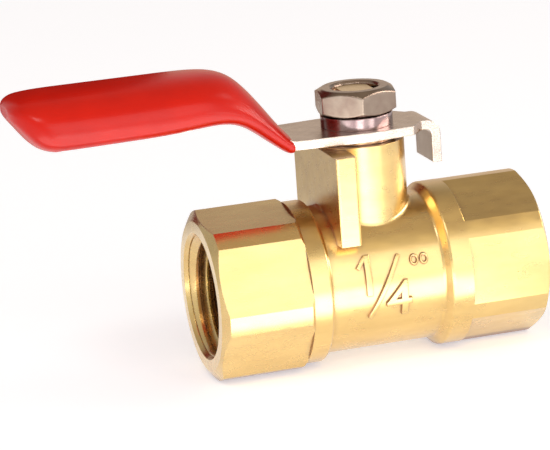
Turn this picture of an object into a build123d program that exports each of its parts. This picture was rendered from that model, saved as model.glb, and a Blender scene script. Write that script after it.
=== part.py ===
from build123d import *
import os
from math import cos, radians, sqrt, tan

# Quarter-turn ball valve with two female pipe ports and a dipped lever, in millimetres.
#
# Frame: the origin is the centre of the ball, where the pipe axis meets the stem axis.
# +X runs along the pipe from the inlet, in the screwed-in end cap, to the outlet.
# +Z runs up the stem. The rest pose is open, with the lever lying back over the inlet.

# ---- pipe run -------------------------------------------------------------------------
inlet_face_x = -18.7
outlet_face_x = 18.2
thread_radius = 13.157 / 2  # root of a G 1/4 parallel pipe thread
port_depth = 9.2
mouth_radius = 6.9
mouth_slope = 53  # degrees between the countersink's cone and the end face
passage_radius = 3.8
face_slope = 30  # degrees between the turned end chamfer and the end face

# ---- valve body -----------------------------------------------------------------------
barrel_radius = 8.05
inlet_collar_radius = 8.85
inlet_collar_x = -8.7
inlet_collar_length = 2.2
outlet_collar_radius = 9.0
outlet_collar_x = 6.9
outlet_step_run = 0.7
outlet_hex_x = 9.2
outlet_hex_flats = 16.5
outlet_hex_turn = 4.8  # degrees about the pipe, from a flat that faces -Y
outlet_face_radius = 8.2
step_fillet = 0.35
cavity_gap = 0.8  # between the ball and the chamber's wall

# ---- end cap --------------------------------------------------------------------------
cap_hex_flats = 17.0
cap_hex_radius = 9.25
cap_hex_turn = 22.0
cap_face_radius = 8.1
cap_inner_chamfer = 0.3
spigot_wall = 0.7
spigot_length = 4.0
cap_seal_thickness = 0.5

# ---- ball and seats -------------------------------------------------------------------
ball_radius = 5.5
ball_bore_radius = 3.5
seat_land = 0.56  # width of the seat's flat nose between its bore and the ball
seat_back_gap = 0.8
seat_side_gap = 0.05
seat_ball_gap = 0.03
slot_width = 2.1
slot_depth = 1.15
slot_gap = 0.05

# ---- neck and stop wing ---------------------------------------------------------------
neck_radius = 4.95
neck_top_z = 15.0
neck_root_fillet = 0.5
wing_thickness = 2.3
wing_half_width = 7.8
wing_top_drop = 0.2
wing_underside_z = 5.2
wing_fillet = 0.3

# ---- stem -----------------------------------------------------------------------------
stem_radius = 3.0
stem_gap = 0.05
shoulder_radius = 3.85
shoulder_lift = 0.1  # above the chamber
shoulder_height = 0.8
tang_length = 6.0
thrust_washer_thickness = 0.6
axial_gap = 0.03
o_ring_section_radius = 0.4
o_ring_gap = 0.02
groove_depth = 0.8
groove_height = 1.1
o_ring_depths = {"stem_o_ring_lower": 5.1, "stem_o_ring_upper": 2.6}  # below the neck's top
stud_radius = 2.5  # M5 thread above the lever
stud_flats = 4.0
stud_drop = 0.28  # below the nut's top
stud_chamfer = 0.3

# ---- lever ----------------------------------------------------------------------------
spacer_radius = 4.15
spacer_thickness = 0.5
plate_thickness = 1.0
plate_half_width = 5.05
plate_shoulder_x = 4.9
plate_shoulder_half_width = 4.5
lever_hole_gap = 0.05
stop_tab_half_width = 2.65
stop_tab_inner_x = 7.5
stop_tab_drop = 4.7
stop_tab_bend = 1.1
stop_gap = 0.05
riser_foot_x = -8.9
riser_half_width = 4.3
riser_slope = 42  # degrees above the plate
riser_bend = 2.5
paddle_rise = 5.87
paddle_half_width = 5.1
paddle_end_x = -37.0
paddle_nose_half_width = 2.6
paddle_nose_length = 3.5
flange_start_x = -19.0
flange_end_x = -34.0
flange_height = 2.7

# ---- grip: the dipped sleeve's sections along x, with heights from the plate's mid-plane --
grip_sections = [  # (x, half width, underside, side edge, crown)
    (-8.4, 4.7, -0.9, 0.6, 1.0),
    (-9.3, 4.75, -0.75, 1.1, 2.1),
    (-10.8, 4.85, 0.5, 2.1, 4.1),
    (-12.4, 5.05, 2.0, 3.4, 6.1),
    (-14.0, 5.4, 3.0, 4.6, 7.6),
    (-16.5, 5.9, 3.2, 5.1, 8.4),
    (-20.0, 6.3, 2.6, 5.5, 8.6),
    (-27.0, 6.5, 2.6, 5.6, 8.6),
    (-33.0, 6.3, 2.6, 5.6, 8.6),
    (-35.0, 5.8, 3.6, 5.8, 8.5),
    (-37.0, 4.8, 5.1, 6.3, 8.1),
    (-38.3, 3.4, 5.9, 6.7, 7.6),
    (-38.9, 2.0, 6.4, 6.8, 7.2),
]
grip_underside_inset = 0.35
recess_coat = 0.6

# ---- fastening ------------------------------------------------------------------------
lock_washer_radius = 3.9
lock_washer_bore = 2.6
lock_washer_thickness = 1.3
lock_washer_split = 0.6
lock_washer_slant = 60
nut_flats = 8.0
nut_height = 2.9
nut_turn = -38
nut_bore_gap = 0.02
nut_bore_chamfer = 0.25
nut_face_radius = 3.6

# ---- sizes that follow ----------------------------------------------------------------
cavity_radius = ball_radius + cavity_gap
spigot_radius = cavity_radius + spigot_wall
seat_back_x = ball_radius + seat_back_gap
seat_front_x = sqrt((ball_radius + seat_ball_gap) ** 2 - (passage_radius + seat_land) ** 2)
slot_floor_z = ball_radius - slot_depth
shoulder_z = cavity_radius + shoulder_lift
wing_top_z = neck_top_z - wing_top_drop
stem_bore_radius = stem_radius + stem_gap
stem_pocket_radius = shoulder_radius + stem_gap
shoulder_top_z = shoulder_z + shoulder_height
thrust_washer_z = shoulder_top_z + axial_gap
stem_pocket_top_z = thrust_washer_z + thrust_washer_thickness
spacer_z = neck_top_z + axial_gap
plate_z = spacer_z + spacer_thickness
plate_top_z = plate_z + plate_thickness
nut_z = plate_top_z + lock_washer_thickness
nut_top_z = nut_z + nut_height
stud_top_z = nut_top_z - stud_drop
seat_radius = cavity_radius - seat_side_gap
spigot_end_x = inlet_collar_x + spigot_length
recess_end_x = spigot_end_x + cap_seal_thickness
tang_width = slot_width - 2 * slot_gap
groove_radius = stem_radius - groove_depth
o_ring_heights = {name: neck_top_z - depth for name, depth in o_ring_depths.items()}
wing_inner_x = -(stop_tab_half_width + stop_gap)
wing_outer_x = wing_inner_x - wing_thickness
stop_tab_outer_x = stop_tab_inner_x + plate_thickness
plate_mid_z = plate_z + plate_thickness / 2
paddle_web_z = plate_mid_z + paddle_rise
riser_top_x = riser_foot_x - (paddle_web_z - plate_mid_z) / tan(radians(riser_slope))
mouth_depth = (mouth_radius - thread_radius) * tan(radians(mouth_slope))
reach = 30.0  # a cutting tool's length past everything it trims


def turn_about_x(points, mode=Mode.ADD):
    """Revolve a closed half profile of (x, radius) points about the pipe axis."""
    with BuildSketch(Plane.XZ) as half:
        with BuildLine():
            Polyline(*points, close=True)
        make_face()
    revolve(half.sketch, axis=Axis.X, mode=mode)


def turn_about_z(points, mode=Mode.ADD):
    """Revolve a closed half profile of (radius, z) points about the stem axis."""
    with BuildSketch(Plane.XZ) as half:
        with BuildLine():
            Polyline(*points, close=True)
        make_face()
    revolve(half.sketch, axis=Axis.Z, mode=mode)


def tube_about_z(inner_radius, outer_radius, bottom_z, top_z, mode=Mode.ADD):
    """Make a round tube or washer on the stem axis."""
    with BuildSketch(Plane.XY.offset(bottom_z)) as ring:
        Circle(outer_radius)
        if inner_radius > 0:
            Circle(inner_radius, mode=Mode.SUBTRACT)
    extrude(ring.sketch, amount=top_z - bottom_z, mode=mode)


def cut_port(face_x, inward):
    """Bore a threaded port with a countersunk mouth. inward is the sign of x going in."""
    floor_x = face_x + inward * port_depth
    profile = [
        (face_x, 0),
        (face_x, mouth_radius),
        (face_x + inward * mouth_depth, thread_radius),
        (floor_x, thread_radius),
        (floor_x, 0),
    ]
    turn_about_x(profile, Mode.SUBTRACT)


def cut_hexagon(start_x, end_x, flats, turn):
    """Mill six flats between two x stations. turn is the angle of the first flat from -Y."""
    with BuildSketch(Plane.YZ.offset(start_x)) as waste:
        Circle(flats)
        RegularPolygon(flats / 2, 6, major_radius=False, rotation=30 - turn, mode=Mode.SUBTRACT)
    extrude(waste.sketch, amount=end_x - start_x, mode=Mode.SUBTRACT)


def double_d(radius, flats):
    """Sketch a circle with two flats that face +X and -X."""
    Circle(radius)
    Rectangle(flats, 2 * radius, mode=Mode.INTERSECT)


# ---- valve body -----------------------------------------------------------------------
face_chamfer = (outlet_collar_radius - outlet_face_radius) * tan(radians(face_slope))
inlet_collar_end_x = inlet_collar_x + inlet_collar_length
with BuildPart() as valve_body:
    turn_about_x(
        [
            (inlet_collar_x, 0),
            (inlet_collar_x, inlet_collar_radius),
            (inlet_collar_end_x, inlet_collar_radius),
            (inlet_collar_end_x, barrel_radius),
            (outlet_collar_x - outlet_step_run, barrel_radius),
            (outlet_collar_x, outlet_collar_radius),
            (outlet_face_x - face_chamfer, outlet_collar_radius),
            (outlet_face_x, outlet_face_radius),
            (outlet_face_x, 0),
        ]
    )
    steps = valve_body.edges().filter_by(GeomType.CIRCLE)
    steps = steps.filter_by_position(Axis.X, inlet_collar_end_x, outlet_collar_x)
    fillet(steps, step_fillet)
    cut_hexagon(outlet_hex_x, outlet_face_x, outlet_hex_flats, outlet_hex_turn)
    with BuildSketch(Plane.XY):
        Circle(neck_radius)
    extrude(amount=neck_top_z)
    fillet(valve_body.edges(Select.NEW), neck_root_fillet)
    with BuildSketch(Plane.XY.offset(wing_underside_z)) as wing:
        with Locations(((wing_inner_x + wing_outer_x) / 2, 0)):
            Rectangle(wing_thickness, 2 * wing_half_width)
        fillet(wing.vertices(), wing_fillet)
    extrude(amount=wing_top_z - wing_underside_z)
    # flow path, from the end cap's recess to the outlet port
    turn_about_x(
        [
            (inlet_collar_x, 0),
            (inlet_collar_x, spigot_radius),
            (recess_end_x, spigot_radius),
            (recess_end_x, cavity_radius),
            (seat_back_x, cavity_radius),
            (seat_back_x, passage_radius),
            (outlet_face_x, passage_radius),
            (outlet_face_x, 0),
        ],
        Mode.SUBTRACT,
    )
    cut_port(outlet_face_x, -1)
    tube_about_z(0, stem_pocket_radius, 0, stem_pocket_top_z, Mode.SUBTRACT)
    tube_about_z(0, stem_bore_radius, 0, neck_top_z, Mode.SUBTRACT)

# ---- end cap --------------------------------------------------------------------------
cap_chamfer = (cap_hex_radius - cap_face_radius) * tan(radians(face_slope))
with BuildPart() as end_cap:
    turn_about_x(
        [
            (inlet_face_x, 0),
            (inlet_face_x, cap_face_radius),
            (inlet_face_x + cap_chamfer, cap_hex_radius),
            (inlet_collar_x - cap_inner_chamfer, cap_hex_radius),
            (inlet_collar_x, cap_hex_radius - cap_inner_chamfer),
            (inlet_collar_x, spigot_radius),
            (spigot_end_x, spigot_radius),
            (spigot_end_x, 0),
        ]
    )
    cut_hexagon(inlet_face_x, inlet_collar_x, cap_hex_flats, cap_hex_turn)
    turn_about_x(
        [
            (inlet_face_x, 0),
            (inlet_face_x, passage_radius),
            (-seat_back_x, passage_radius),
            (-seat_back_x, cavity_radius),
            (spigot_end_x, cavity_radius),
            (spigot_end_x, 0),
        ],
        Mode.SUBTRACT,
    )
    cut_port(inlet_face_x, 1)

with BuildPart() as end_cap_seal:
    turn_about_x(
        [
            (spigot_end_x, cavity_radius),
            (spigot_end_x, spigot_radius),
            (recess_end_x, spigot_radius),
            (recess_end_x, cavity_radius),
        ]
    )

# ---- ball and its two seats -----------------------------------------------------------
with BuildPart() as ball:
    Sphere(ball_radius)
    with BuildSketch(Plane.YZ.offset(-ball_radius)):
        Circle(ball_bore_radius)
    extrude(amount=2 * ball_radius, mode=Mode.SUBTRACT)
    with BuildSketch(Plane.XY.offset(slot_floor_z)):
        Rectangle(slot_width, 2 * ball_radius)
    extrude(amount=ball_radius, mode=Mode.SUBTRACT)

seat_rings = {}
for seat_name, side in (("seat_ring_inlet", -1), ("seat_ring_outlet", 1)):
    with BuildPart() as seat_ring:
        with BuildSketch(Plane.XZ):
            with Locations((side * (seat_front_x + seat_back_x) / 2, (passage_radius + seat_radius) / 2)):
                Rectangle(seat_back_x - seat_front_x, seat_radius - passage_radius)
            Circle(ball_radius + seat_ball_gap, mode=Mode.SUBTRACT)
        revolve(axis=Axis.X)
    seat_rings[seat_name] = seat_ring.part

# ---- stem, washers and seals ----------------------------------------------------------
with BuildPart() as stem:
    tube_about_z(0, shoulder_radius, shoulder_z, shoulder_top_z)
    tube_about_z(0, stem_radius, shoulder_top_z, plate_z)
    with BuildSketch(Plane.XY.offset(plate_z)):
        double_d(stud_radius, stud_flats)
    extrude(amount=stud_top_z - plate_z)
    chamfer(stem.faces().sort_by(Axis.Z)[-1].edges(), stud_chamfer)
    with BuildSketch(Plane.XY.offset(slot_floor_z + slot_gap)):
        Rectangle(tang_width, tang_length)
    extrude(amount=shoulder_z - slot_floor_z - slot_gap)
    for height in o_ring_heights.values():
        low, high = height - groove_height / 2, height + groove_height / 2
        tube_about_z(groove_radius, stem_radius, low, high, Mode.SUBTRACT)

with BuildPart() as stem_thrust_washer:
    tube_about_z(stem_bore_radius, shoulder_radius, thrust_washer_z, stem_pocket_top_z)

o_rings = {}
for o_ring_name, height in o_ring_heights.items():
    with BuildPart() as o_ring:
        with BuildSketch(Plane.XZ):
            with Locations((groove_radius + o_ring_section_radius + o_ring_gap, height)):
                Circle(o_ring_section_radius)
        revolve(axis=Axis.Z)
    o_rings[o_ring_name] = o_ring.part

with BuildPart() as lever_spacer:
    tube_about_z(stem_bore_radius, spacer_radius, spacer_z, plate_z)

# ---- lever ----------------------------------------------------------------------------
with BuildPart() as lever_plate:
    tab_mid_x = (stop_tab_inner_x + stop_tab_outer_x) / 2
    with BuildLine(Plane.XZ) as lever_path:
        FilletPolyline(
            (tab_mid_x, plate_top_z - stop_tab_drop),
            (tab_mid_x, plate_mid_z),
            (riser_foot_x, plate_mid_z),
            (riser_top_x, paddle_web_z),
            (paddle_end_x, paddle_web_z),
            radius=[stop_tab_bend, riser_bend, riser_bend],
        )
    lever_start = lever_path.line @ 0
    with BuildSketch(Plane(lever_start, x_dir=(0, 1, 0), z_dir=lever_path.line % 0)):
        Rectangle(2 * paddle_half_width, plate_thickness)
    sweep(path=lever_path.line)
    with BuildSketch(Plane.XY) as lever_outline:
        with BuildLine():
            edge = Polyline(
                (stop_tab_outer_x, 0),
                (stop_tab_outer_x, stop_tab_half_width),
                (stop_tab_inner_x - stop_tab_bend, stop_tab_half_width),
                (plate_shoulder_x, plate_shoulder_half_width),
                (0, plate_half_width),
                (riser_foot_x, riser_half_width),
                (riser_top_x, riser_half_width),
                (flange_start_x, paddle_half_width),
                (paddle_end_x + paddle_nose_length, paddle_half_width),
                (paddle_end_x, paddle_nose_half_width),
                (paddle_end_x, 0),
            )
            mirror(edge, about=Plane.XZ)
        make_face()
    extrude(amount=reach, mode=Mode.INTERSECT)
    flange_mid_z = paddle_web_z - flange_height / 2
    with BuildSketch(Plane.XZ) as flange:
        with Locations(((flange_start_x + flange_end_x) / 2, flange_mid_z)):
            Rectangle(flange_start_x - flange_end_x, flange_height)
        fillet(flange.vertices().group_by(Axis.Y)[0], flange_height / 3)
    extrude(amount=paddle_half_width, both=True)
    inner_half_width = paddle_half_width - plate_thickness
    channel_top_z = paddle_web_z - plate_thickness / 2
    with BuildSketch(Plane.XZ):
        with Locations(((flange_start_x + flange_end_x) / 2, channel_top_z - reach / 2)):
            Rectangle(flange_start_x - flange_end_x + 1, reach)
    extrude(amount=inner_half_width, both=True, mode=Mode.SUBTRACT)
    with BuildSketch(Plane.XY.offset(plate_z)):
        double_d(stud_radius + lever_hole_gap, stud_flats + 2 * lever_hole_gap)
    extrude(amount=plate_thickness, mode=Mode.SUBTRACT)

with BuildPart() as lever_grip:
    for station_x, half_width, underside, side_edge, crown in grip_sections:
        station = Plane((station_x, 0, plate_mid_z), x_dir=(0, 1, 0), z_dir=(1, 0, 0))
        with BuildSketch(station):
            with BuildLine():
                low = half_width - grip_underside_inset
                Line((-low, underside), (low, underside))
                Line((low, underside), (half_width, side_edge))
                ThreePointArc((half_width, side_edge), (0, crown), (-half_width, side_edge))
                Line((-half_width, side_edge), (-low, underside))
            make_face()
    loft(ruled=True)
    with BuildSketch(Plane.XZ):
        with Locations(((flange_start_x + flange_end_x) / 2, channel_top_z - recess_coat - reach / 2)):
            Rectangle(flange_start_x - flange_end_x, reach)
    extrude(amount=inner_half_width - recess_coat, both=True, mode=Mode.SUBTRACT)
    add(lever_plate.part, mode=Mode.SUBTRACT)

# ---- lock washer and nut --------------------------------------------------------------
with BuildPart() as lock_washer:
    tube_about_z(lock_washer_bore, lock_washer_radius, plate_top_z, nut_z)
    split_plane = Plane((0, 0, (plate_top_z + nut_z) / 2)).rotated((0, 90 - lock_washer_slant, 0))
    with BuildSketch(split_plane.offset(-reach / 2)):
        with Locations((0, reach / 2)):
            Rectangle(lock_washer_split, reach)
    extrude(amount=reach, mode=Mode.SUBTRACT)

with BuildPart() as lever_nut:
    corner_radius = nut_flats / 2 / cos(radians(30))
    corner_drop = (corner_radius - nut_face_radius) * tan(radians(face_slope))
    turn_about_z(
        [
            (0, nut_z),
            (nut_face_radius, nut_z),
            (corner_radius, nut_z + corner_drop),
            (corner_radius, nut_top_z - corner_drop),
            (nut_face_radius, nut_top_z),
            (0, nut_top_z),
        ]
    )
    with BuildSketch(Plane.XY.offset(nut_z)):
        RegularPolygon(nut_flats / 2, 6, major_radius=False, rotation=nut_turn)
    extrude(amount=nut_height, mode=Mode.INTERSECT)
    with BuildSketch(Plane.XY.offset(nut_z)):
        Circle(stud_radius + nut_bore_gap)
    extrude(amount=nut_height, mode=Mode.SUBTRACT)
    bore_edges = lever_nut.edges().filter_by(GeomType.CIRCLE).sort_by(SortBy.RADIUS)[:2]
    chamfer(bore_edges, nut_bore_chamfer)

# ---- write every piece ----------------------------------------------------------------
pieces = {
    "valve_body": valve_body.part,
    "end_cap": end_cap.part,
    "end_cap_seal": end_cap_seal.part,
    **seat_rings,
    "stem_thrust_washer": stem_thrust_washer.part,
    "ball": ball.part,
    "stem": stem.part,
    **o_rings,
    "lever_spacer": lever_spacer.part,
    "lever_plate": lever_plate.part,
    "lever_grip": lever_grip.part,
    "lock_washer": lock_washer.part,
    "lever_nut": lever_nut.part,
}
os.makedirs("parts", exist_ok=True)
for name, piece in pieces.items():
    piece.label = name
    export_step(piece, f"parts/{name}.step")
    print(name, round(piece.volume, 2), "mm3")
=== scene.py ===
# %% [markdown]
# # A quarter-turn ball valve, dressed in Blender
#
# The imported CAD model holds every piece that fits, turns or seals. This notebook loads it as a
# fixed frame, gives each metal, rubber and plastic its finish, and models what the drawings leave
# out: the screw threads in both ports, the raised size numeral on the barrel, and the dipped grip.

from math import atan2, cos, pi, radians, sin, tan

import bmesh
import bpy
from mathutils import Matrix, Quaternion, Vector


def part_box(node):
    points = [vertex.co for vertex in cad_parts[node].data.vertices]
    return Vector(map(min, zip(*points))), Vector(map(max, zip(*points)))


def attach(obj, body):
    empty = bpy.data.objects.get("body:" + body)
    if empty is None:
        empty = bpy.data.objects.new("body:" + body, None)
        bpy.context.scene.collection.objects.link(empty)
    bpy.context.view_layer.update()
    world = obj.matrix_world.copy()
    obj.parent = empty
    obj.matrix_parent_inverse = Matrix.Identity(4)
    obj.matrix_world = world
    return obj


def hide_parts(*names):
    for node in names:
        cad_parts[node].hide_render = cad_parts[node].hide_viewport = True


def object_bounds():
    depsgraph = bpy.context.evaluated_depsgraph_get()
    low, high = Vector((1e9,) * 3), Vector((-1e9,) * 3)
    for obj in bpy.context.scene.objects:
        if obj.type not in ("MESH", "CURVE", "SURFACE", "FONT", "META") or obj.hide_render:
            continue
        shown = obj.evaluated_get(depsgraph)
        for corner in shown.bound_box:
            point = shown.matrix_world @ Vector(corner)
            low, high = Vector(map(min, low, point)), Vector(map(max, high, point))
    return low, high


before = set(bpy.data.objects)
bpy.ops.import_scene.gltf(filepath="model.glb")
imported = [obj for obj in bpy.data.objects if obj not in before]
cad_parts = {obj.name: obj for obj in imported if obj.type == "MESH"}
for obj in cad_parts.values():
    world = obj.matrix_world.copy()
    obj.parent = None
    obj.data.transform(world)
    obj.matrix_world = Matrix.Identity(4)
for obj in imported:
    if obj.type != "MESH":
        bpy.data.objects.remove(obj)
cad_low, cad_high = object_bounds()
mm = 0.001
print("CAD box in mm:", [round(v / mm, 2) for v in (*cad_low, *cad_high)])

# %% [markdown]
# ## Camera
#
# A small object seen from thirty centimetres through a long lens shows little perspective. The
# camera could be placed by eye, but an azimuth, an elevation, a roll and a distance from an aim
# point can be checked one by one, so its turn is built from those.

# %% Camera
view_azimuth = radians(-15.75)
view_elevation = radians(14.56)
view_roll = radians(-4.12)
view_distance = 300 * mm
view_aim = Vector((-9.35, 1.99, 6.14)) * mm
lens_mm = 181.7

back = Vector(
    (
        sin(view_azimuth) * cos(view_elevation),
        -cos(view_azimuth) * cos(view_elevation),
        sin(view_elevation),
    )
)
level = (-back).to_track_quat("-Z", "Y")
bpy.ops.object.camera_add()
camera = bpy.context.object
camera.name = "studio_camera"
camera.rotation_mode = "QUATERNION"
camera.rotation_quaternion = Quaternion(back, view_roll) @ level
camera.location = view_aim + back * view_distance
camera.data.lens = lens_mm
camera.data.sensor_width = 36
camera.data.clip_start = 10 * mm
camera.data.clip_end = 10
bpy.context.scene.camera = camera
print("camera at", [round(v / mm, 1) for v in camera.location], "mm")

# %% [markdown]
# ## Floor and light
#
# Polished brass is a mirror with a colour, so it looks like whatever surrounds it. Lamps alone
# would give it small hard spots. A large soft panel in front, a pale table that glows a little and
# a darker room behind give long creamy highlights and brown upper faces. Cards that only
# reflections can see stand in for the white reflectors and dark flags that a studio puts round
# shiny metal.

# %% Floor
floor_gap = 0.02 * mm
floor_height = cad_low.z - floor_gap
bpy.ops.mesh.primitive_plane_add(size=4, location=(0, 0, floor_height))
floor = bpy.context.object
floor.name = "studio_floor"
white = bpy.data.materials.new("studio_white")
white.use_nodes = True
shader = white.node_tree.nodes["Principled BSDF"]
shader.inputs["Base Color"].default_value = (0.90, 0.90, 0.90, 1)
shader.inputs["Roughness"].default_value = 0.9
shader.inputs["Specular IOR Level"].default_value = 0.1
shader.inputs["Emission Color"].default_value = (0.96, 1.0, 1.10, 1)
shader.inputs["Emission Strength"].default_value = 0.43
floor.data.materials.append(white)

# %% World
world = bpy.data.worlds.new("studio_room")
bpy.context.scene.world = world
world.use_nodes = True
nodes, links = world.node_tree.nodes, world.node_tree.links
direction = nodes.new("ShaderNodeTexCoord")
height = nodes.new("ShaderNodeSeparateXYZ")  # Z is up, and Y is away from the camera
tone = nodes.new("ShaderNodeValToRGB")
links.new(direction.outputs["Generated"], height.inputs[0])
links.new(height.outputs["Z"], tone.inputs["Fac"])
links.new(tone.outputs["Color"], nodes["Background"].inputs["Color"])
ramp = tone.color_ramp
ramp.elements[0].position = 0.0
ramp.elements[0].color = (0.95, 0.95, 0.95, 1)
ramp.elements[1].position = 0.85
ramp.elements[1].color = (0.56, 0.47, 0.38, 1)
middle = ramp.elements.new(0.35)
middle.color = (0.80, 0.79, 0.77, 1)
dimmer = nodes.new("ShaderNodeMapRange")
dimmer.inputs["From Min"].default_value = -0.1
dimmer.inputs["From Max"].default_value = 0.5
dimmer.inputs["To Min"].default_value = 1.0
dimmer.inputs["To Max"].default_value = 0.62
links.new(height.outputs["Y"], dimmer.inputs["Value"])
links.new(dimmer.outputs["Result"], nodes["Background"].inputs["Strength"])


# %% Lights
def soft_panel(name, azimuth, elevation, distance, size, power):
    """Hang a square light that faces the valve from a direction around it."""
    a, e = radians(azimuth), radians(elevation)
    outward = Vector((sin(a) * cos(e), -cos(a) * cos(e), sin(e)))
    bpy.ops.object.light_add(type="AREA", location=outward * distance)
    panel = bpy.context.object
    panel.name = name
    panel.rotation_mode = "QUATERNION"
    panel.rotation_quaternion = outward.to_track_quat("Z", "Y")
    panel.data.size = size
    panel.data.energy = power
    return panel


soft_panel("front_panel", azimuth=8, elevation=22, distance=0.40, size=0.30, power=0.38)
soft_panel("key_panel", azimuth=-40, elevation=55, distance=0.45, size=0.10, power=0.22)
soft_panel("side_panel", azimuth=80, elevation=48, distance=0.45, size=0.10, power=0.06)
bpy.context.scene.view_settings.view_transform = "Standard"


# %% Reflection cards
def reflection_card(name, centre, size, turn, tone):
    """Place a card, bright or dark, that shows in reflections and nowhere else."""
    bpy.ops.mesh.primitive_plane_add(size=1, location=centre, rotation=turn)
    card = bpy.context.object
    card.name = name
    card.scale = (*size, 1)
    card.visible_camera = False
    card.visible_diffuse = False
    card.visible_shadow = False
    paint = bpy.data.materials.new(name + "_paint")
    paint.use_nodes = True
    glow = paint.node_tree.nodes["Principled BSDF"]
    glow.inputs["Base Color"].default_value = (0, 0, 0, 1)
    glow.inputs["Specular IOR Level"].default_value = 0
    glow.inputs["Emission Color"].default_value = (*tone, 1)
    glow.inputs["Emission Strength"].default_value = 1
    card.data.materials.append(paint)
    return card


lying, standing, sideways = (0, 0, 0), (pi / 2, 0, 0), (0, pi / 2, 0)
just_above = Vector((0, 0, floor_height + 0.3 * mm))
near_table = just_above + Vector((-33, -52, 0)) * mm
reflection_card("near_reflector", near_table, (0.114, 0.068), lying, (4.4, 4.4, 4.4))
far_table = just_above + Vector((63, -114, 0)) * mm
reflection_card("far_reflector", far_table, (0.032, 0.040), lying, (7.0, 7.0, 6.9))
grip_table = just_above + Vector((-18, -124, 0)) * mm
reflection_card("grip_reflector", grip_table, (0.046, 0.052), lying, (7.0, 7.0, 7.0))
behind_grip = just_above + Vector((-28, 60, 58)) * mm
reflection_card("grip_flag", behind_grip, (0.044, 0.086), standing, (0.16, 0.02, 0.015))
behind_wing = just_above + Vector((-28, 60, 7)) * mm
reflection_card("wing_flag", behind_wing, (0.044, 0.014), standing, (0.52, 0.47, 0.42))
behind_body = just_above + Vector((22, 60, 26)) * mm
reflection_card("body_flag", behind_body, (0.056, 0.052), standing, (0.70, 0.57, 0.46))
beside = just_above + Vector((82, -25, 52)) * mm
reflection_card("riser_reflector", beside, (0.032, 0.075), sideways, (9.0, 8.0, 7.5))

# %% [markdown]
# ## Finishes
#
# Each finish is a small function that returns a material. A colour alone would look like plastic,
# so brass gets patches, a wavy skin, a clear reflective coat and a brown in its creases, partly
# oxide where buffing can't reach and partly painted shade, steel gets a fine grain, and dipped
# vinyl gets an orange-peel skin. Every pattern reads Object coordinates, so it has a real size in
# metres and stays on its piece when the lever turns.


# %% Material helpers
def new_finish(name, colour, metallic, roughness):
    """Start a material and hand back its shader, its nodes and its links."""
    material = bpy.data.materials.new(name)
    material.use_nodes = True
    tree = material.node_tree
    shader = tree.nodes["Principled BSDF"]
    shader.inputs["Base Color"].default_value = (*colour, 1)
    shader.inputs["Metallic"].default_value = metallic
    shader.inputs["Roughness"].default_value = roughness
    return material, shader, tree.nodes, tree.links


def object_noise(nodes, links, size, detail=3.0, stretch=(1, 1, 1)):
    """Noise whose grain is about size metres across, pulled out along an axis by stretch."""
    place = nodes.new("ShaderNodeTexCoord")
    scale = nodes.new("ShaderNodeMapping")
    scale.inputs["Scale"].default_value = [1 / (size * s) for s in stretch]
    noise = nodes.new("ShaderNodeTexNoise")
    noise.inputs["Scale"].default_value = 1.0
    noise.inputs["Detail"].default_value = detail
    links.new(place.outputs["Object"], scale.inputs["Vector"])
    links.new(scale.outputs["Vector"], noise.inputs["Vector"])
    return noise.outputs["Fac"]


def spread(nodes, links, value, low, high, start=0.3, end=0.7):
    """Turn a 0 to 1 pattern into numbers between low and high."""
    remap = nodes.new("ShaderNodeMapRange")
    remap.inputs["From Min"].default_value = start
    remap.inputs["From Max"].default_value = end
    remap.inputs["To Min"].default_value = low
    remap.inputs["To Max"].default_value = high
    links.new(value, remap.inputs["Value"])
    return remap.outputs["Result"]


def two_tone(nodes, links, value, first, second):
    """Blend two colours by a 0 to 1 pattern."""
    mix = nodes.new("ShaderNodeMix")
    mix.data_type = "RGBA"
    mix.inputs["A"].default_value = (*first, 1)
    mix.inputs["B"].default_value = (*second, 1)
    links.new(value, mix.inputs["Factor"])
    return mix.outputs["Result"]


def crease_shade_and_oxide_tint(nodes, links, tone, shade_and_oxide_colour, reach):
    """Darken a colour towards a brown where the surface is closed in by its neighbours within
    reach: painted shade in creases, together with oxide.
    """
    # Painted shade: an ambient occlusion mask darkens the colour towards the brown in closed-in
    # creases.
    crease = nodes.new("ShaderNodeAmbientOcclusion")
    crease.samples = 8
    crease.inputs["Distance"].default_value = reach
    mix = nodes.new("ShaderNodeMix")
    mix.data_type = "RGBA"
    mix.inputs["A"].default_value = (*shade_and_oxide_colour, 1)
    links.new(spread(nodes, links, crease.outputs["AO"], 0, 1, 0.35, 0.95), mix.inputs["Factor"])
    links.new(tone, mix.inputs["B"])
    return mix.outputs["Result"]


def soft_edges_and_bumps(nodes, links, shader, bumps, edge_radius):
    """Round the look of sharp edges, then press (pattern, depth) bumps into the surface."""
    edge = nodes.new("ShaderNodeBevel")
    edge.samples = 6
    edge.inputs["Radius"].default_value = edge_radius
    normal = edge.outputs["Normal"]
    for pattern, depth in bumps:
        bump = nodes.new("ShaderNodeBump")
        bump.inputs["Distance"].default_value = depth
        links.new(pattern, bump.inputs["Height"])
        links.new(normal, bump.inputs["Normal"])
        normal = bump.outputs["Normal"]
    links.new(normal, shader.inputs["Normal"])


# %% Brass
# Painted shade and oxide: the brown that creases in the brass are darkened towards.
crease_shade_and_oxide_brown = (0.36, 0.17, 0.05)


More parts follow.
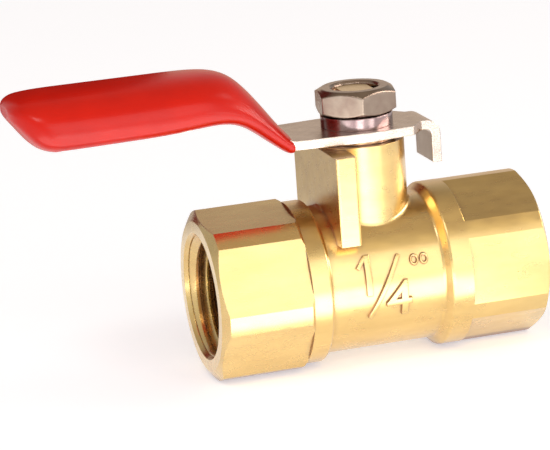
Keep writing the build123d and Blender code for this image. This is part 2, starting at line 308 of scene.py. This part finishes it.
def brass(name, light, dark, roughness, dent_depth, edge_radius=0.15 * mm):
    """Brass with a patchy tone, a wavy tumbled skin and brown in its creases, partly oxide and
    partly painted shade.
    """
    material, shader, nodes, links = new_finish(name, light, 1.0, roughness)
    shader.inputs["Coat Weight"].default_value = 0.85
    shader.inputs["Coat IOR"].default_value = 2.2
    shader.inputs["Coat Roughness"].default_value = 0.25
    patches = object_noise(nodes, links, 2.2 * mm, 4, (3, 1, 1))
    waves = object_noise(nodes, links, 1.0 * mm, 2, (2.5, 1, 1))
    tone = two_tone(nodes, links, spread(nodes, links, patches, 0, 1), light, dark)
    # Painted shade and oxide: the brass colour darkens to brown wherever it is closed in.
    links.new(crease_shade_and_oxide_tint(nodes, links, tone, crease_shade_and_oxide_brown, 0.9 * mm), shader.inputs["Base Color"])
    gloss = spread(nodes, links, waves, roughness - 0.05, roughness + 0.07)
    links.new(gloss, shader.inputs["Roughness"])
    soft_edges_and_bumps(nodes, links, shader, [(waves, dent_depth)], edge_radius)
    return material


forged_brass = brass("forged_brass", (0.79, 0.54, 0.15), (0.67, 0.43, 0.10), 0.30, 0.012 * mm)
turned_brass = brass("turned_brass", (0.79, 0.54, 0.155), (0.68, 0.44, 0.105), 0.25, 0.005 * mm)
# Darker, rougher brass for the walls of the raised figure: casting skin, and painted shade along
# its sides.
rough_and_shaded_tones = (0.46, 0.25, 0.07), (0.34, 0.17, 0.04)
unpolished_and_shaded_brass = brass("unpolished_and_shaded_brass", *rough_and_shaded_tones, 0.42, 0.005 * mm)


# %% Steel
def grained_steel(name, colour, dark, roughness, stretch, grain=0.05 * mm, edge=0.18 * mm):
    """Steel with a fine grain pulled along one axis."""
    material, shader, nodes, links = new_finish(name, colour, 1.0, roughness)
    streaks = object_noise(nodes, links, grain, 3, stretch)
    clouds = object_noise(nodes, links, 1.5 * mm, 3)
    tone = two_tone(nodes, links, spread(nodes, links, clouds, 0, 1), colour, dark)
    links.new(tone, shader.inputs["Base Color"])
    gloss = spread(nodes, links, streaks, roughness - 0.06, roughness + 0.1)
    links.new(gloss, shader.inputs["Roughness"])
    soft_edges_and_bumps(nodes, links, shader, [(streaks, 0.004 * mm)], edge)
    return material


rolled, turned = (30, 1, 1), (1, 1, 1)  # the grain runs along the lever, or no way at all
lever_tones = (0.64, 0.55, 0.48), (0.52, 0.43, 0.37)
nut_tones = (0.38, 0.30, 0.235), (0.29, 0.21, 0.165)
washer_tones = (0.44, 0.34, 0.32), (0.28, 0.19, 0.19)
chrome_tones = (0.80, 0.81, 0.83), (0.72, 0.73, 0.76)
lever_steel = grained_steel("lever_steel", *lever_tones, 0.24, rolled)
nut_steel = grained_steel("nut_steel", *nut_tones, 0.17, turned, edge=0.22 * mm)
washer_steel = grained_steel("washer_steel", *washer_tones, 0.16, turned)
ball_plate = grained_steel("ball_plate", *chrome_tones, 0.10, turned)


# %% Plastics and rubber
def moulded(name, colour, dark, roughness):
    """A soft moulded or dipped surface with a faint orange-peel skin."""
    material, shader, nodes, links = new_finish(name, colour, 0.0, roughness)
    shader.inputs["Specular IOR Level"].default_value = 0.4
    shader.inputs["IOR"].default_value = 1.4
    clouds = object_noise(nodes, links, 4 * mm, 2)
    peel = object_noise(nodes, links, 0.6 * mm, 2)
    tone = two_tone(nodes, links, spread(nodes, links, clouds, 0, 1), colour, dark)
    links.new(tone, shader.inputs["Base Color"])
    soft_edges_and_bumps(nodes, links, shader, [(peel, 0.012 * mm)], 0.1 * mm)
    return material


grip_vinyl = moulded("grip_vinyl", (0.68, 0.010, 0.002), (0.60, 0.008, 0.002), 0.25)
seat_ptfe = moulded("seat_ptfe", (0.90, 0.90, 0.88), (0.84, 0.84, 0.81), 0.45)
seal_rubber = moulded("seal_rubber", (0.025, 0.025, 0.027), (0.015, 0.015, 0.016), 0.5)

# %% Dress the CAD nodes
finishes = {
    "valve_body": forged_brass,
    "end_cap": turned_brass,
    "stem": turned_brass,
    "lever_spacer": turned_brass,
    "ball": ball_plate,
    "lever_plate": lever_steel,
    "lever_nut": nut_steel,
    "lock_washer": washer_steel,
    "lever_grip": grip_vinyl,
    "end_cap_seal": seat_ptfe,
    "seat_ring_inlet": seat_ptfe,
    "seat_ring_outlet": seat_ptfe,
    "stem_thrust_washer": seat_ptfe,
    "stem_o_ring_lower": seal_rubber,
    "stem_o_ring_upper": seal_rubber,
}
for node, finish in finishes.items():
    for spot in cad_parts[node].material_slots:
        spot.material = finish
    print(node, "wears", finish.name)

# %% [markdown]
# ## Modelling helpers
#
# New pieces are made the way one works by hand: add a primitive, go into edit mode, select by
# place, extrude, inset or cut, and apply the modifiers. These helpers hold the shared steps.


# %% Modelling helpers
def clear_selection():
    """Deselect everything, so that the next operator touches only the new piece."""
    if bpy.context.object and bpy.context.object.mode != "OBJECT":
        bpy.ops.object.mode_set(mode="OBJECT")
    bpy.ops.object.select_all(action="DESELECT")


def pick(piece, chosen, kind="VERT"):
    """In edit mode, select the vertices or faces that chosen(item) accepts."""
    bpy.ops.mesh.select_mode(type=kind)
    bpy.ops.mesh.select_all(action="DESELECT")
    shape = bmesh.from_edit_mesh(piece.data)
    items = shape.verts if kind == "VERT" else shape.faces
    found = [item for item in items if chosen(item)]
    for item in found:
        item.select_set(True)
    bmesh.update_edit_mesh(piece.data)
    return len(found)


def cut_across(piece, axis, places):
    """Cut a ring round the piece at each place along an axis (0, 1 or 2)."""
    for place in places:
        point, normal = [0, 0, 0], [0, 0, 0]
        point[axis], normal[axis] = place, 1
        bpy.ops.mesh.select_all(action="SELECT")
        bpy.ops.mesh.bisect(plane_co=point, plane_no=normal)


def close_and_turn_out(piece, merge=0.002 * mm):
    """Merge doubles and make every face point outwards."""
    bpy.ops.object.mode_set(mode="EDIT")
    bpy.ops.mesh.select_all(action="SELECT")
    bpy.ops.mesh.remove_doubles(threshold=merge)
    bpy.ops.mesh.normals_make_consistent(inside=False)
    bpy.ops.object.mode_set(mode="OBJECT")


def finish_piece(piece, name, body, finish, smooth_angle=35):
    """Name, paint and shade a piece, hand it to its body and print what was made."""
    piece.name = name
    piece.data.materials.clear()
    piece.data.materials.append(finish)
    bpy.ops.object.shade_smooth_by_angle(angle=radians(smooth_angle))
    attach(piece, body)
    columns = zip(*[vertex.co / mm for vertex in piece.data.vertices])
    size = [round(max(column) - min(column), 2) for column in columns]
    print(name, "measures", size, "mm and has", len(piece.data.polygons), "faces")


# %% [markdown]
# ## Screw threads
#
# Each port carries a quarter-inch parallel pipe thread: 19 turns to the inch, a 13.157 mm root and
# an 11.445 mm crest. A row of rings would look close, but a real thread is one helix. So one tooth
# is drawn as a small trapezium and the Screw modifier sweeps it round the pipe, and the countersink
# then trims the first turn to nothing, as it does on the lathe.

# %% Thread sizes
thread_pitch = 25.4 / 19 * mm
thread_root = 13.157 / 2 * mm
thread_crest = 11.445 / 2 * mm
thread_bury = 0.04 * mm
thread_lead_in = 0.5 * mm
tooth_width = 0.96 * thread_pitch
tooth_tip_share = 0.16
steps_per_turn = 72
mouth_radius = 6.9 * mm
mouth_slope = radians(53)
turns = 6
outlet_face_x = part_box("valve_body")[1].x
inlet_face_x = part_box("end_cap")[0].x
print("thread pitch", round(thread_pitch / mm, 3), "mm,", turns, "turns")


# %% Threads
def thread(name, face_x, inward, finish):
    """Sweep one tooth along a right-handed helix into a port, where inward is the sign of x."""
    clear_selection()
    start_x = face_x if inward > 0 else face_x - turns * thread_pitch
    middle = (thread_root + thread_bury + thread_crest) / 2
    bpy.ops.mesh.primitive_plane_add(size=1, location=(start_x, 0, middle), rotation=(pi / 2, 0, 0))
    tooth = bpy.context.object
    tooth.scale = (tooth_width, thread_root + thread_bury - thread_crest, 1)
    bpy.ops.object.transform_apply(location=True, rotation=True, scale=True)
    bpy.ops.object.mode_set(mode="EDIT")
    pick(tooth, lambda vertex: vertex.co.z < middle)
    bpy.ops.transform.resize(value=(tooth_tip_share, 1, 1))
    bpy.ops.mesh.select_all(action="SELECT")
    bpy.ops.mesh.delete(type="ONLY_FACE")
    bpy.ops.object.mode_set(mode="OBJECT")
    sweep = tooth.modifiers.new("helix", "SCREW")
    sweep.axis = "X"
    sweep.screw_offset = thread_pitch
    sweep.iterations = turns
    sweep.steps = steps_per_turn
    sweep.render_steps = steps_per_turn
    bpy.ops.object.modifier_apply(modifier=sweep.name)
    bpy.ops.object.mode_set(mode="EDIT")
    bpy.ops.mesh.select_all(action="DESELECT")
    bpy.ops.mesh.select_non_manifold()
    bpy.ops.mesh.fill()
    bpy.ops.object.mode_set(mode="OBJECT")
    for vertex in tooth.data.vertices:
        depth = max((vertex.co.x - face_x) * inward, 0)
        radius = Vector((vertex.co.y, vertex.co.z)).length
        cone = mouth_radius - depth / tan(mouth_slope)
        trimmed = min(max(radius, cone), thread_root + thread_bury)
        vertex.co.y *= trimmed / radius
        vertex.co.z *= trimmed / radius
        vertex.co.x = face_x + inward * max(depth, thread_lead_in)
    close_and_turn_out(tooth, 0.0005 * mm)
    finish_piece(tooth, name, "housing", finish, 30)


thread("inlet_thread", inlet_face_x, 1, turned_brass)
thread("outlet_thread", outlet_face_x, -1, turned_brass)

# %% [markdown]
# ## Size numeral
#
# The forging die leaves the pipe size standing proud on the barrel. It could be a bump in the
# material, but a real raised figure catches light on its own small edges. The straight strokes are
# bars with rounded edges, the 4 is a text object turned into a mesh, and the inch mark is two small
# rings. All are made flat, cut into strips where they are long, and wrapped round the barrel. The
# walls get a darker, rougher brass: partly the brown casting skin that buffing doesn't reach, and
# partly painted shade along the sides of the figure.

# %% Numeral sizes
barrel_radius = 8.05 * mm
relief_height = 0.30 * mm
relief_bury = 0.12 * mm
relief_bevel = 0.08 * mm
strip = 0.3 * mm
wall_slope = 0.9  # a face counts as a wall below this cosine to the outward direction


# %% Wrap helpers
def wrap_on_barrel(piece):
    """Bend a flat piece round the pipe: x stays, y runs round the barrel, z stands out of it."""
    for vertex in piece.data.vertices:
        angle = vertex.co.y / barrel_radius
        radius = barrel_radius + vertex.co.z
        vertex.co.y = -radius * cos(angle)
        vertex.co.z = radius * sin(angle)


def cut_in_strips(piece):
    """Cut a flat figure across every strip width, so that it can bend."""
    rows = [vertex.co.y for vertex in piece.data.vertices]
    count = int((max(rows) - min(rows)) / strip)
    bpy.ops.object.mode_set(mode="EDIT")
    cut_across(piece, 1, [min(rows) + strip * (k + 1) for k in range(count)])
    bpy.ops.object.mode_set(mode="OBJECT")


def leave_walls_unpolished_and_shaded(piece):
    """Give the faces that don't look out from the barrel a darker, rougher brass: casting skin,
    with painted shade along the figure's sides.
    """
    piece.data.materials.append(unpolished_and_shaded_brass)
    # Painted shade: the walls of the figure take the darker brass.
    for face in piece.data.polygons:
        outward = Vector((0, face.center.y, face.center.z)).normalized()
        if face.normal.dot(outward) < wall_slope:
            face.material_index = 1


def raised_figure(name, character, centre, size):
    """Stand one figure proud of the barrel, centred at (x, round), with a real size."""
    clear_selection()
    bpy.ops.object.text_add(location=(0, 0, 0))
    figure = bpy.context.object
    figure.data.body = character
    figure.data.size = size[1]
    figure.data.extrude = (relief_height + relief_bury) / 2 - relief_bevel
    figure.data.bevel_depth = relief_bevel
    figure.data.bevel_resolution = 2
    figure.data.resolution_u = 6
    bpy.ops.object.convert(target="MESH")
    figure = bpy.context.object
    columns = [vertex.co.x for vertex in figure.data.vertices]
    rows = [vertex.co.y for vertex in figure.data.vertices]
    middle_x, middle_y = (min(columns) + max(columns)) / 2, (min(rows) + max(rows)) / 2
    stretch_x = size[0] / (max(columns) - min(columns))
    stretch_y = size[1] / (max(rows) - min(rows))
    for vertex in figure.data.vertices:
        vertex.co.x = centre[0] + (vertex.co.x - middle_x) * stretch_x
        vertex.co.y = centre[1] + (vertex.co.y - middle_y) * stretch_y
        vertex.co.z += (relief_height - relief_bury) / 2
    cut_in_strips(figure)
    wrap_on_barrel(figure)
    close_and_turn_out(figure, 0.001 * mm)
    finish_piece(figure, name, "housing", forged_brass, 30)
    leave_walls_unpolished_and_shaded(figure)


# %% Straight strokes
def raised_bar(name, low, high, width):
    """Stand a rounded bar on the barrel from one (x, round) point to another."""
    clear_selection()
    lean = high - low
    bpy.ops.mesh.primitive_cube_add(size=1, rotation=(0, 0, -atan2(lean.x, lean.y)))
    bar = bpy.context.object
    bar.scale = (width, lean.length, relief_height + relief_bury)
    bar.location = (*((low + high) / 2), (relief_height - relief_bury) / 2)
    bpy.ops.object.transform_apply(location=True, rotation=True, scale=True)
    soften = bar.modifiers.new("soften", "BEVEL")
    soften.width = relief_bevel
    soften.segments = 3
    bpy.ops.object.modifier_apply(modifier=soften.name)
    cut_in_strips(bar)
    wrap_on_barrel(bar)
    close_and_turn_out(bar, 0.001 * mm)
    finish_piece(bar, name, "housing", forged_brass, 30)
    leave_walls_unpolished_and_shaded(bar)


raised_bar("size_slash", Vector((-2.35, -2.9)) * mm, Vector((1.3, 3.65)) * mm, 0.5 * mm)
raised_bar("size_one_stem", Vector((-2.3, -0.35)) * mm, Vector((-2.3, 4.05)) * mm, 0.7 * mm)
raised_bar("size_one_flag", Vector((-3.4, 2.65)) * mm, Vector((-2.45, 3.85)) * mm, 0.45 * mm)

# %% Figure and inch mark
raised_figure("size_figure_four", "4", (0.95 * mm, -1.0 * mm), (2.9 * mm, 3.9 * mm))


def inch_mark(name, centre):
    """Model one of the two small raised rings of the inch mark."""
    clear_selection()
    bpy.ops.mesh.primitive_torus_add(
        location=(*centre, 0),
        major_radius=0.44 * mm,
        minor_radius=0.17 * mm,
        major_segments=32,
        minor_segments=10,
    )
    ring = bpy.context.object
    ring.scale = (0.85, 1.1, 1.2)
    bpy.ops.object.transform_apply(location=True, rotation=True, scale=True)
    wrap_on_barrel(ring)
    close_and_turn_out(ring, 0.001 * mm)
    finish_piece(ring, name, "housing", forged_brass)
    leave_walls_unpolished_and_shaded(ring)


inch_mark("inch_mark_left", (2.95 * mm, 2.85 * mm))
inch_mark("inch_mark_right", (4.05 * mm, 2.85 * mm))

# %% [markdown]
# ## Dipped grip
#
# The lever's grip is made by dipping: hot steel goes into liquid vinyl, which sets as one soft skin
# with no seams and no sharp edge. Lofted CAD sections show their facets, so the sleeve is modelled
# here: a cylinder laid along the lever, cut into rings, each ring drawn to its own domed section,
# hollowed under the paddle and rounded by a Subdivision Surface.

# %% Grip sizes
plate_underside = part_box("lever_spacer")[1].z
plate_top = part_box("lock_washer")[0].z
plate_middle = (plate_underside + plate_top) / 2
# x, half width, underside, side ridge, crown in mm from the plate's middle, and crease
grip_rings = [
    (-8.4, 4.9, -0.95, 0.0, 1.0, 1.0),
    (-8.9, 4.95, -1.0, 0.25, 1.5, 1.0),
    (-9.8, 4.95, -0.3, 1.05, 2.7, 1.0),
    (-11.0, 5.0, 0.6, 2.15, 4.4, 1.0),
    (-12.4, 5.1, 1.75, 3.35, 6.2, 0.9),
    (-14.0, 5.4, 2.75, 4.4, 7.8, 0.6),
    (-16.0, 5.9, 3.1, 5.0, 8.4, 0.25),
    (-18.5, 6.25, 2.9, 5.1, 8.5, 0.0),
    (-22.0, 6.45, 2.55, 4.9, 8.5, 0.0),
    (-27.0, 6.5, 2.5, 4.8, 8.5, 0.0),
    (-31.5, 6.5, 2.4, 4.8, 8.5, 0.0),
    (-34.0, 6.5, 2.4, 4.8, 8.5, 0.0),
    (-35.6, 6.1, 2.9, 5.2, 8.4, 0.0),
    (-36.6, 5.2, 4.1, 6.1, 8.3, 0.0),
    (-37.3, 4.3, 5.1, 6.6, 8.05, 0.0),
    (-37.8, 3.3, 5.7, 6.8, 7.7, 0.0),
    (-38.05, 2.1, 6.2, 6.85, 7.35, 0.0),
]
round_dome, round_floor = (0.82, 0.95), (0.82, 0.55)  # powers of the across and up directions
creased_dome, creased_floor = (1.0, 1.3), (0.35, 0.8)


# %% Grip section
def ring_place(angle, half_width, underside, ridge, crown, crease):
    """Give the y and z of a point on a section: a dome above the ridge and a flatter floor below.

    The paddle's sections flow round the ridge. Over the riser a crease stands there, where the
    skin is drawn thin over the plate's edge, with an upright face under it.
    """
    across, up = cos(angle), sin(angle)
    soft, sharp = (round_dome, creased_dome) if up > 0 else (round_floor, creased_floor)
    across_power, up_power = [a + (b - a) * crease for a, b in zip(soft, sharp)]
    reach = crown - ridge if up > 0 else ridge - underside
    y = half_width * abs(across) ** across_power * (1 if across > 0 else -1)
    z = ridge + reach * abs(up) ** up_power * (1 if up > 0 else -1)
    return y * mm, plate_middle + z * mm


# %% Grip sleeve
clear_selection()
first_x, last_x = grip_rings[0][0] * mm, grip_rings[-1][0] * mm
bpy.ops.mesh.primitive_cylinder_add(
    vertices=32,
    radius=1 * mm,
    depth=first_x - last_x,
    end_fill_type="NGON",
    location=((first_x + last_x) / 2, 0, 0),
    rotation=(0, pi / 2, 0),
)
grip = bpy.context.object
bpy.ops.object.transform_apply(location=True, rotation=True, scale=True)
bpy.ops.object.mode_set(mode="EDIT")
cut_across(grip, 0, [ring[0] * mm for ring in grip_rings[1:-1]])
bpy.ops.object.mode_set(mode="OBJECT")
for vertex in grip.data.vertices:
    ring = min(grip_rings, key=lambda ring: abs(ring[0] * mm - vertex.co.x))
    vertex.co.y, vertex.co.z = ring_place(atan2(vertex.co.z, vertex.co.y), *ring[1:])
print("sleeve has", len(grip.data.vertices), "control points in", len(grip_rings), "rings")

# %% Grip ends and hollow
hollow_start, hollow_end = -20 * mm, -33 * mm
hollow_inset = 0.9 * mm
hollow_depth = 2.2 * mm
hollow_half_width = 5.6 * mm
looks_down = -0.85
looks_along = 0.95
end_inset = 0.18 * mm
bpy.ops.object.mode_set(mode="EDIT")
pick(grip, lambda face: abs(face.normal.x) > looks_along and len(face.verts) > 8, "FACE")
bpy.ops.mesh.inset(thickness=end_inset, depth=0)
bpy.ops.mesh.inset(thickness=end_inset, depth=0)


def under_paddle(face):
    """Accept the faces that look down between the two ends of the hollow."""
    place = face.calc_center_median()
    inside = hollow_end < place.x < hollow_start and abs(place.y) < hollow_half_width
    return face.normal.z < looks_down and inside


found = pick(grip, under_paddle, "FACE")
bpy.ops.mesh.inset(thickness=hollow_inset, depth=0)
bpy.ops.mesh.extrude_region_move(TRANSFORM_OT_translate={"value": (0, 0, hollow_depth)})
bpy.ops.object.mode_set(mode="OBJECT")
round_off = grip.modifiers.new("round_off", "SUBSURF")
round_off.levels = 2
round_off.render_levels = 2
bpy.ops.object.modifier_apply(modifier=round_off.name)
close_and_turn_out(grip)
finish_piece(grip, "dipped_grip", "lever", grip_vinyl, 60)
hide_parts("lever_grip")
print("hollow was cut from", found, "faces")
